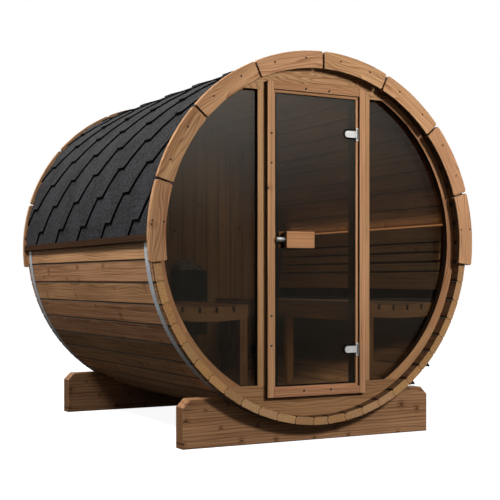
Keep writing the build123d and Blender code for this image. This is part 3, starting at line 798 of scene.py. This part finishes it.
def pane_seal(pane):
    """A black strip that follows a pane's outline in front of it, lining the opening from the pane outward: a
    seal, and painted shade for the reveal.
    """
    work = bmesh.new()
    work.from_mesh(solids[pane].data)
    bmesh.ops.remove_doubles(work, verts=work.verts, dist=1e-5)
    behind = [face for face in work.faces if face.normal.y > -0.9]
    bmesh.ops.delete(work, geom=behind, context="FACES")
    bmesh.ops.dissolve_faces(work, faces=work.faces)
    for inset in (seal_groove, seal_width):
        settings = {"thickness": inset, "use_boundary": True, "use_even_offset": True}
        rim = bmesh.ops.inset_region(work, faces=work.faces, **settings)["faces"]
        extra = [face for face in work.faces if (face in rim) == (inset == seal_groove)]
        bmesh.ops.delete(work, geom=extra, context="FACES")
    strip = bmesh.ops.extrude_face_region(work, geom=work.faces[:])["geom"]
    front = [item for item in strip if isinstance(item, bmesh.types.BMVert)]
    bmesh.ops.translate(work, vec=(0, -seal_depth, 0), verts=front)
    return fit_seal(work, pane + "_seal")


left_seal = pane_seal("left_window")
pane_seal("right_window")
# The panes mirror the open floor and sky, and not these pieces beside them.
for name in ("wall_jambs", "staves_upper_right", "staves_lower_right", "front_fascia"):
    solids[name].visible_glossy = False
left_seal.visible_glossy = False


# ----------------------------------------------------------
# Door frame. Planed casing stands proud of the wall with a stop inside it, screwed
# through its face in countersunk holes. Rubber seals the leaf. A black rubber strip under
# the casing's foot is painted shadow, and the casing's sides are painted dark as shade.
# ----------------------------------------------------------
casing_low, casing_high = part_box("door_frame_left")[0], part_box("door_frame_top")[1]
casing_half = -casing_low.x
casing_width = 0.040


def casing_layout(along, across, first):
    """Grain along a casing member; its edge is the frame's outline, close to the casing's face, so the proud
    side faces take painted shade.
    """

    def layout(tree):
        where = x, y, z = place(tree)
        outline = least(casing_half - abs(x), z - casing_low.z)
        outline = least(outline, abs(abs(x) - (casing_half - casing_width)))
        if along == X:
            outline = least(outline, abs(z - (casing_high.z - casing_width)))
        behind = y - (wall_face - 0.001)
        number = (where[across] > (0.0 if across == X else axis_z)) + first
        return where[along], where[across], y, number, most(outline, behind)

    return layout


def painted_shade_behind_leaf(tree):
    """Painted shade on the frame behind the wall's face, by the leaf."""
    return remap(place(tree)[1], wall_face - 0.001, wall_face + 0.004, 0.0, 0.72)


casing = {"variety": 0.03, "dirt_and_shade_reach": (0.0002, 0.0012), "painted_shade": painted_shade_behind_leaf}
upright_number, rail_number = 5.0, 9.0
upright = {"layout": casing_layout(Z, X, upright_number), "knots": 0.1, **casing}
casing_upright = timber("casing_upright_timber", (206, 157, 116), (150, 106, 73), **upright)
finish(casing_upright, "door_frame_left", "door_frame_right")
rail = {"layout": casing_layout(X, Z, rail_number), "knots": 0.12, "figure": 0.04, **casing}
casing_rail = timber("casing_rail_timber", (192, 144, 106), (138, 95, 65), **rail)
finish(casing_rail, "door_frame_top", "door_frame_bottom")

stile_middle = (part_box("door_frame_left")[0].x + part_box("door_frame_bottom")[0].x) / 2 + 0.004
casing_middle = (casing_low.z + casing_high.z) / 2
casing_spots = [(stile_middle, casing_middle + rise) for rise in (-0.568, -0.409, 0.409, 0.568)]
casing_spots += [(x, casing_high.z - 0.026) for x in (-0.075, 0.075)]
casing_spots += [(x, casing_low.z + 0.028) for x in (-0.087, 0.087)]
casing_screw_radius, screw_proud = 0.0072, 0.0008
lit_bare_rim = worn_metal("bare_countersink_highlight", (222, 176, 140), (196, 148, 114), 0.7, scale=300.0, metallic=0.0)
# Each pale disc sits to the lower right of its screw: bare wood in the countersink, shown only where light
# catches it, a painted highlight.
for name, coat, aside in (("casing_countersinks", lit_bare_rim, 0.003), ("casing_screws", dark_screws, 0.0)):
    head = screw_head("casing_screw_head", casing_screw_radius)
    face = casing_low.y - screw_proud + aside / 4
    spots = [(x + aside, face, z - aside) for x, z in casing_spots]
    heads = bake_nodes(name, screw_tree(coat), {"Screw": head, "Seed": 9}, spots)
    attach(heads, "barrel")
    bpy.data.objects.remove(head)


def mitred_strip(name, low, high, width, front, back, ease=0.0008):
    """A rubber frame of four mitred lengths, with its front edges eased."""
    work = bmesh.new()
    section = [(0.0, back), (0.0, front + ease), (ease, front)]
    section += [(width - ease, front), (width, front + ease), (width, back)]
    rings = []
    for inset, y in section:
        left, foot = low[0] + inset, low[1] + inset
        right, head = high[0] - inset, high[1] - inset
        rings.append([(left, y, foot), (right, y, foot), (right, y, head), (left, y, head)])
    loft(work, rings, capped=False)
    return fit_seal(work, name)


leaf_low, leaf_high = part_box("door_glass")
seal_reach = 0.0052
mitred_strip(
    "door_seal",
    (leaf_low.x + 0.0040, leaf_low.z - seal_reach),
    (leaf_high.x + seal_reach, leaf_high.z + seal_reach),
    0.0085,
    leaf_high.y + 0.0012,
    leaf_high.y + 0.0080,
)
# A black strip under the casing's foot: painted shadow of the casing on the threshold.
mitred_strip(
    "casing_foot_seal",
    (casing_low.x + 0.001, casing_low.z - 0.0075),
    (-casing_low.x - 0.001, casing_low.z + 0.030),
    0.010,
    wall_face - 0.0016,
    wall_face + 0.001,
)


# ----------------------------------------------------------
# Door fittings. Satin steel clamps and hinge plates, a steel catch, and a handle made
# of two timber blocks through the glass. Black gaskets lie under the clamps.
# ----------------------------------------------------------
satin = worn_metal("satin_steel", (242, 242, 243), (220, 220, 222), 0.34, scale=120.0, metallic=0.4)
finish(satin, "door_hinges", "hinge_plates")
brushed = worn_metal("brushed_catch", (214, 220, 228), (150, 156, 164), 0.3, scale=90.0, metallic=0.85)
finish(brushed, "door_catch")
clamp_low, clamp_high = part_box("door_hinges")
clamp_height, pad_margin = 0.037, 0.0100
pad_half = clamp_height / 2 + pad_margin


def clamp_pads():
    """Black gasket that shows round each hinge clamp, rounded on the glass, lipped at the hinge plate."""
    work = bmesh.new()
    for middle in (clamp_low.z + clamp_height / 2, clamp_high.z - clamp_height / 2):
        centre = clamp_low.x - pad_margin + pad_half
        turns = [radians(90 + 180 * turn / 16) for turn in range(17)]
        outline = [(centre + pad_half * cos(turn), middle + pad_half * sin(turn)) for turn in turns]
        outline += [(leaf_high.x - 0.001, middle - pad_half), (leaf_high.x - 0.001, middle + pad_half)]
        loft(work, [[(x, y, z) for x, z in outline] for y in (leaf_low.y - 0.0012, leaf_low.y + 0.0004)])
        left, right = clamp_high.x - 0.0048, clamp_high.x - 0.0002
        front, back = clamp_low.y - 0.0008, leaf_low.y
        lip = ((left, front), (left, back), (right, back), (right, front))
        loft(work, [[(x, y, z) for x, y in lip] for z in (middle - pad_half, middle + pad_half)])
    pads = keep_piece(work, "clamp_pads", black_rubber)
    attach(pads, "door")


clamp_pads()
handle_end = (X, (112, 76, 50), (74, 49, 32))
handle_cut = {"layout": plank(X, Z, 3.0), "knots": 0.0, "figure": 0.03, "end": handle_end}
finish(timber("handle_timber", (210, 156, 112), (156, 106, 70), **handle_cut), "door_handle")


# ----------------------------------------------------------
# Rear wall and vent. Upright tongued boards close the back. A round dark cover hides
# the vent.
# ----------------------------------------------------------
def painted_shade_beside_benches(tree):
    """Painted shade at the sides of the wall, behind the backrests."""
    return remap(abs(place(tree)[0]), 0.78, 0.84, 0.0, 0.75)


rear_cut = {"layout": plank(Z, X, 0.096), "knots": 0.2, "variety": 0.07, "joints": 0.35}
rear_timber = timber("rear_board_timber", (172, 128, 90), (120, 84, 56), painted_shade=painted_shade_beside_benches, **rear_cut)
finish(rear_timber, "rear_wall")
finish(worn_metal("dark_vent_cover", (15, 18, 18), (9, 11, 11), 0.5, metallic=0.0), "vent")


# ----------------------------------------------------------
# Cabin fittings. Floor boards on bearers, and at each side a bench of planed slats on
# curved bearers with a backrest of slats above it.
# ----------------------------------------------------------
slat_pitch, slat_offset = 0.1, 0.03
side_number = 20.0


def slat_layout(tree):
    """Bench slats counted outward from the apron, with the slots between them."""
    x, y, z = place(tree)
    share = (abs(x) + slat_offset) / slat_pitch
    number = floor(share)
    aside = (share - number - 0.5) * slat_pitch
    return y, aside, z, step("SIGN", x) * side_number + number, slat_pitch / 2 - abs(aside)


def painted_shade_far_leg(tree):
    """Painted shade on the legs by the rear wall."""
    return remap(place(tree)[1], 0.2, 0.4, 0.0, 0.85)


slat = {"layout": slat_layout, "knots": 0.05, "variety": 0.08, "dirt_and_shade_reach": (0.0080, 0.0090)}
finish(timber("planed_slat_timber", (192, 138, 92), (138, 92, 56), **slat), "bench_slats")
bearer = {"layout": plank(X, Z, 3.0), "knots": 0.05, "variety": 0.05}
bearer_timber = timber("sawn_bearer_timber", (196, 141, 95), (142, 96, 59), **bearer)
finish(bearer_timber, "bench_bearers", "backrest_uprights", "floor_bearers")
floor_board = {"layout": plank(Y, X, 0.146), "knots": 0.1, "variety": 0.08, "joints": 0.6}
finish(timber("worn_floor_timber", (206, 158, 114), (150, 106, 72), **floor_board), "floor")
planed = {"layout": plank(Y, Z, 0.17), "knots": 0.06, "variety": 0.06, "joints": 0.0}
finish(timber("planed_apron_timber", (172, 122, 80), (122, 80, 48), **planed), "bench_aprons")
finish(timber("pale_backrest_timber", (210, 168, 124), (160, 118, 82), **planed), "backrests")
leg = {"layout": plank(Z, Y, 0.8), "knots": 0.05, "variety": 0.06, "painted_shade": painted_shade_far_leg}
finish(timber("planed_leg_timber", (200, 146, 100), (148, 100, 62), **leg), "bench_legs")


# ----------------------------------------------------------
# Light strips. A warm strip in a frosted cover is clipped along the head of each
# backrest.
# ----------------------------------------------------------
def lit_cover():
    """Frosted cover with warm light behind it."""
    material, tree, surface = new_material("warm_light_cover")
    glow = blend_colours(mottling(tree, Scale=25.0), (255, 170, 110), (255, 186, 128))
    fill(surface, Base_Color=glow, Emission_Color=glow, Emission_Strength=1.2, Roughness=0.6)
    return material


finish(lit_cover(), "light_strips")


# ----------------------------------------------------------
# Heater. A black steel case on the rear wall, heaped with split stones in three
# layers, laid loose.
# ----------------------------------------------------------
finish(worn_metal("black_case", (48, 45, 40), (34, 32, 28), 0.5, metallic=0.2), "heater")
stone_radius = 0.022


def stone_tree(rock):
    """A stone on every point, each with its own turn and size, then all of them knocked out of round."""
    sizes = {"Radius": stone_radius, "Seed": 7, "Roughness": 0.017}
    tree, given, result = node_group("heap_stones", sizes)

    def drawn_between(low, high, seed):
        limits = {"_0": low, "_1": high, "Seed": seed}
        return put(tree, "FunctionNodeRandomValue", {"data_type": "FLOAT_VECTOR"}, **limits)[0]

    ball = put(tree, "GeometryNodeMeshIcoSphere", Radius=given["Radius"], Subdivisions=3)[0]
    turn = drawn_between((0.0, 0.0, 0.0), (6.28, 6.28, 6.28), given["Seed"])
    scale = drawn_between((0.72, 0.80, 0.78), (1.18, 1.12, 1.1), given["Seed"] + 1.0)
    heap = set_out(given["Geometry"], ball, Rotation=turn, Scale=scale)
    where = put(tree, "GeometryNodeInputPosition")[0]
    lumps = put(tree, "ShaderNodeTexNoise", Vector=where, Scale=42.0, Detail=2.0)["Color"]
    kind = "ShaderNodeVectorMath"
    centred = put(tree, kind, {"operation": "SUBTRACT"}, _0=lumps, _1=(0.5, 0.5, 0.5))[0]
    push = put(tree, kind, {"operation": "SCALE"}, _0=centred, Scale=given["Roughness"])[0]
    rough = put(tree, "GeometryNodeSetPosition", Geometry=heap, Offset=push)[0]
    fill(result, _0=coated(rough, rock))
    return tree


rock = worn_metal("split_rock", (176, 168, 158), (58, 55, 52), 0.8, scale=70.0, metallic=0.0)
heap_low, heap_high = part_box("heater_stones")
heap_spots = []
for columns, rows, rise, run in ((5, 4, 0.011, 1.0), (4, 3, 0.037, 0.76), (3, 2, 0.050, 0.52)):
    span_x = (heap_high.x - heap_low.x - 2 * stone_radius) * run
    span_y = (heap_high.y - heap_low.y - 2 * stone_radius) * run
    for index in range(columns * rows):
        column, row = index % columns, index // columns
        x = heap_low.x + stone_radius - 0.006 + span_x * (column + 0.25 * (row % 2)) / (columns - 0.75)
        y = (heap_low.y + heap_high.y - span_y) / 2 + span_y * row / (rows - 1)
        heap_spots.append((x, y, heap_low.z + rise))
stones = bake_nodes("loose_heater_stones", stone_tree(rock), {"Radius": stone_radius}, heap_spots)
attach(stones, "barrel")
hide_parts("heater_stones")


# ----------------------------------------------------------
# Setting. A white floor and a white sky, a key lamp at the front and a large lamp high
# on the left, small lamps in the cabin, at the right foot and along the light strips,
# and a level camera below head height to the front left.
# ----------------------------------------------------------
white, floor_half = (255, 255, 255), 40.0
floor_mirror_tint, sky_mirror_tint = (255, 238.6, 217.8), (255, 249.3, 236.1)


def seen_and_mirrored(tree):
    """Whether a ray comes from the eye, straight or through glass, and whether off a shine."""
    rays = put(tree, "ShaderNodeLightPath")
    return most(rays["Is Camera Ray"], rays["Is Transmission Ray"]), rays["Is Glossy Ray"]


def studio_floor():
    """White ground that keeps the shadow, with a dim warm mirror image."""
    mesh = bpy.data.meshes.new("studio_floor")
    corners = [(x * floor_half, y * floor_half, 0) for x, y in ((-1, -1), (1, -1), (1, 1), (-1, 1))]
    mesh.from_pydata(corners, [], [(0, 1, 2, 3)])
    material, tree, surface = new_material("studio_white")
    fill(surface, Base_Color=(0.06, 0.058, 0.055, 1), Roughness=1.0, Specular_IOR_Level=0.0)
    seen, mirrored = seen_and_mirrored(tree)
    far = put(tree, "ShaderNodeVectorMath", {"operation": "LENGTH"}, _0=spot(tree))["Value"]
    lit = remap(far, 1.8, 3.2, 0.93, 1.0)
    tint = blend_colours(mirrored, white, floor_mirror_tint)
    glow = put(tree, "ShaderNodeEmission", Color=tint, Strength=lit)[0]
    shaded = put(tree, "ShaderNodeBsdfDiffuse", Color=(0.35, 0.35, 0.35, 1))[0]
    pale = put(tree, "ShaderNodeAddShader", _0=glow, _1=shaded)[0]
    share = most(seen, mirrored * remap(far, 3.0, 30.0, 0.0, 0.20))
    mixed = put(tree, "ShaderNodeMixShader", _0=share, _1=Flow(surface.outputs[0]), _2=pale)[0]
    fill(tree.nodes["Material Output"], Surface=mixed)
    mesh.materials.append(material)
    return add_object("studio_floor", mesh)


studio_floor()

world = bpy.data.worlds.new("studio")
bpy.context.scene.world = world
world.use_nodes = True
sky = world.node_tree
seen, mirrored = seen_and_mirrored(sky)
rightward, _, skyward = split(put(sky, "ShaderNodeTexCoord")["Generated"])
horizon = remap(skyward, 0.03, 0.20, 0.12, 2.1) * remap(rightward, 0.40, 0.62, 1.0, 0.42)
soft = (1.0 - most(seen, mirrored)) * remap(skyward, -0.2, 0.8, 0.06, 0.22)
sky_tint = blend_colours(mirrored, white, sky_mirror_tint)
fill(sky.nodes["Background"], Color=sky_tint, Strength=soft + most(seen, mirrored * horizon))


def soft_lamp(name, spot, aim, size, power, colour=(1, 1, 1)):
    """Square lamp that points at a place."""
    data = bpy.data.lights.new(name, "AREA")
    data.size, data.energy, data.color = size, power, colour
    lamp = add_object(name, data)
    lamp.location = spot
    lamp.rotation_euler = (Vector(aim) - Vector(spot)).to_track_quat("-Z", "Y").to_euler()
    lamp.visible_camera = False
    lamp.visible_glossy = False
    lamp.visible_transmission = False
    return lamp


soft_lamp("key_lamp", (0.65, -3.8, 2.1), (0, 0, 1.0), 0.45, 75)
soft_lamp("side_lamp", (-5.2, -0.5, 7.2), (0, 0, 1.0), 1.2, 760)
soft_lamp("cabin_lamp", (0.0, -0.72, 1.78), (0, 0.5, 0.4), 0.5, 4.2, (1.0, 0.97, 0.88))
foot_lamp = soft_lamp("foot_lamp", (0.02, -0.55, 0.42), (0.60, -0.42, 0.24), 0.20, 1.5, (1.0, 0.93, 0.82))
foot_lamp.data.spread = radians(105)
strip_light, strip_tilt, strip_length = (1.0, 0.82, 0.64), 8, 1.75
for side, word in ((-1, "left"), (1, "right")):
    strip_lamp = soft_lamp(f"{word}_strip_lamp", (side * 0.92, 0, 1.222), (0, 0, 2), 0.02, 0.55, strip_light)
    strip_lamp.rotation_euler = (0, radians(180 + side * strip_tilt), 0)
    strip_lamp.data.shape = "RECTANGLE"
    strip_lamp.data.size_y = strip_length

camera_data = bpy.data.cameras.new("camera")
camera_data.lens = 77.99
camera_data.sensor_width = 36.0
camera_data.shift_x = 0.0182
camera_data.shift_y = 0.0611
camera = add_object("camera", camera_data)
camera.location = (-3.1312, -6.0628, 0.8768)
camera.rotation_euler = (radians(90), 0, radians(-27.80))
bpy.context.scene.camera = camera
bpy.context.scene.view_settings.view_transform = "Standard"
